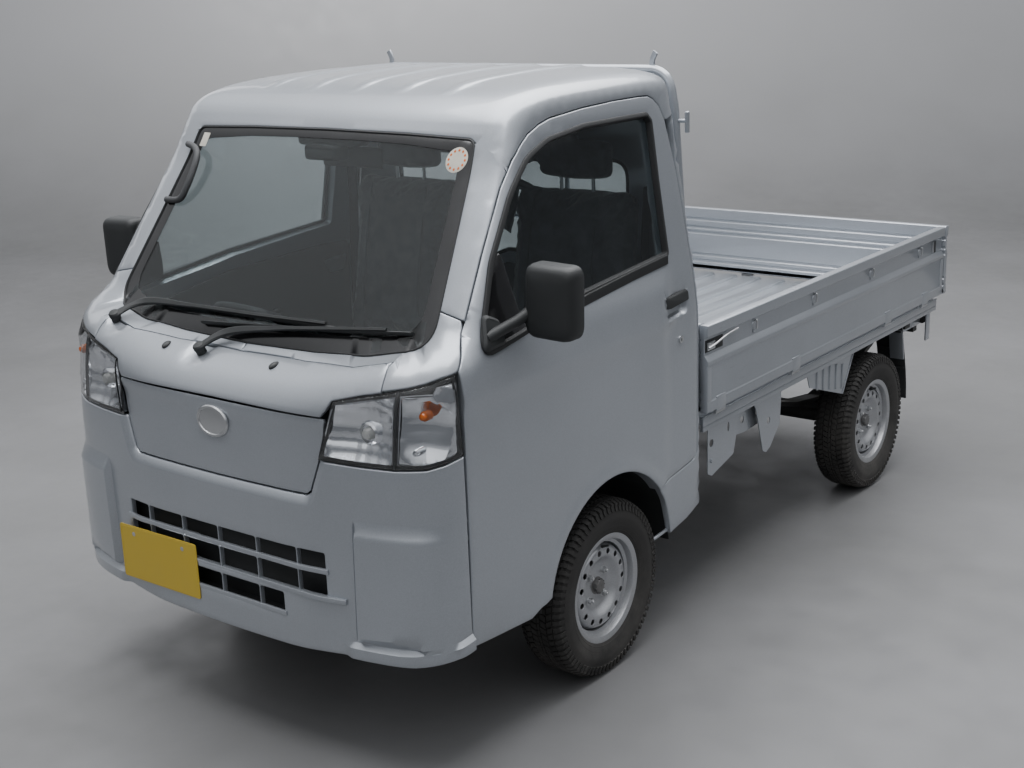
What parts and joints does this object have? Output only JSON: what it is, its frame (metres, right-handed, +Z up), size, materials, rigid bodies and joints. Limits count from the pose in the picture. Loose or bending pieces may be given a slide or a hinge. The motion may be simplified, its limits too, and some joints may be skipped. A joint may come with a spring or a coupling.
{
  "type": "small cab-over pickup truck",
  "caption": "Small silver cab-over pickup truck with hinged doors, drop sides and tail gate, guard frame, steered front wheels and free-turning wheels.",
  "frame": {"origin": "middle of the bounding box on the ground under the tyres", "axes": "+X to the left of the truck, +Y to the rear, +Z up; the front faces -Y"},
  "size_m": [1.824, 3.395, 1.78],
  "materials": {
    "silver_paint": "metallic paint",
    "chassis_black": "satin",
    "window_glass": "clear",
    "dark_plastic": "matte",
    "seat_cloth": "woven",
    "lamp_lens": "clear over bright",
    "cast_metal": "rough",
    "bare_steel": "dull",
    "red_lens": "gloss",
    "yellow_plate": "satin",
    "tyre_rubber": "matte",
    "wheel_paint": "satin"
  },
  "bodies": {
    "truck_body": {"ladder_frame": "chassis_black", "front_bumper": "silver_paint", "front_garnish": "silver_paint", "roof_panel": "silver_paint", "cab_front_frame": "silver_paint", "cab_rear_wall": "silver_paint", "cab_sides": "silver_paint", "cab_floor": "chassis_black", "cab_glass": "window_glass", "dashboard": "dark_plastic", "seats": "seat_cloth", "headlamps": "lamp_lens", "guard_frame": "silver_paint", "bed_floor": "silver_paint", "bed_front_panel": "silver_paint", "engine": "cast_metal", "fuel_tank": "chassis_black", "front_suspension": "chassis_black", "rear_axle": "chassis_black", "drive_shaft": "bare_steel", "exhaust": "bare_steel", "rear_fenders": "silver_paint", "tail_lamps": "red_lens", "number_plates": "yellow_plate", "wipers": "dark_plastic"},
    "left_door": {"door_left": "silver_paint", "door_glass_left": "window_glass", "mirror_left": "dark_plastic"},
    "right_door": {"door_right": "silver_paint", "door_glass_right": "window_glass", "mirror_right": "dark_plastic"},
    "left_gate": {"side_gate_left": "silver_paint"},
    "right_gate": {"side_gate_right": "silver_paint"},
    "rear_gate": {"tail_gate": "silver_paint"},
    "left_knuckle": {"knuckle_left": "cast_metal"},
    "right_knuckle": {"knuckle_right": "cast_metal"},
    "front_left_wheel": {"tyre_front_left": "tyre_rubber", "rim_front_left": "wheel_paint"},
    "front_right_wheel": {"tyre_front_right": "tyre_rubber", "rim_front_right": "wheel_paint"},
    "rear_left_wheel": {"tyre_rear_left": "tyre_rubber", "rim_rear_left": "wheel_paint"},
    "rear_right_wheel": {"tyre_rear_right": "tyre_rubber", "rim_rear_right": "wheel_paint"},
    "hand_wheel": {"steering_wheel": "dark_plastic"}
  },
  "joints": [
    {"name": "steer_left", "type": "hinge", "parent": "truck_body", "child": "left_knuckle", "pos_m": [0.605, -0.855, 0.268], "axis": [0, 0, 1], "range_deg": [-35, 35]},
    {"name": "steer_right", "type": "hinge", "parent": "truck_body", "child": "right_knuckle", "pos_m": [-0.605, -0.855, 0.268], "axis": [0, 0, 1], "range_deg": [-35, 35]},
    {"name": "turn_hand_wheel", "type": "hinge", "parent": "truck_body", "child": "hand_wheel", "pos_m": [-0.33, -1.13, 1], "axis": [0, 0.515, 0.8572], "range_deg": [-540, 540]},
    {"name": "spin_front_left", "type": "hinge", "parent": "left_knuckle", "child": "front_left_wheel", "pos_m": [0.65, -0.855, 0.268], "axis": [1, 0, 0], "continuous": true},
    {"name": "spin_front_right", "type": "hinge", "parent": "right_knuckle", "child": "front_right_wheel", "pos_m": [-0.65, -0.855, 0.268], "axis": [1, 0, 0], "continuous": true},
    {"name": "spin_rear_left", "type": "hinge", "parent": "truck_body", "child": "rear_left_wheel", "pos_m": [0.65, 1.045, 0.268], "axis": [1, 0, 0], "continuous": true},
    {"name": "spin_rear_right", "type": "hinge", "parent": "truck_body", "child": "rear_right_wheel", "pos_m": [-0.65, 1.045, 0.268], "axis": [1, 0, 0], "continuous": true},
    {"name": "open_left_door", "type": "hinge", "parent": "truck_body", "child": "left_door", "pos_m": [0.722, -1.475, 0.52], "axis": [0, 0, -1], "range_deg": [0, 66]},
    {"name": "open_right_door", "type": "hinge", "parent": "truck_body", "child": "right_door", "pos_m": [-0.722, -1.475, 0.52], "axis": [0, 0, 1], "range_deg": [0, 66]},
    {"name": "drop_left_gate", "type": "hinge", "parent": "truck_body", "child": "left_gate", "pos_m": [0.729, 0.6, 0.652], "axis": [0, 1, 0], "range_deg": [0, 168]},
    {"name": "drop_right_gate", "type": "hinge", "parent": "truck_body", "child": "right_gate", "pos_m": [-0.729, 0.6, 0.652], "axis": [0, -1, 0], "range_deg": [0, 168]},
    {"name": "drop_tail_gate", "type": "hinge", "parent": "truck_body", "child": "rear_gate", "pos_m": [0, 1.689, 0.652], "axis": [-1, 0, 0], "range_deg": [0, 168]}
  ],
  "couplings": [
    {"joint": "steer_right", "follows": "steer_left", "ratio": 1},
    {"joint": "turn_hand_wheel", "follows": "steer_left", "ratio": 15.4}
  ]
}
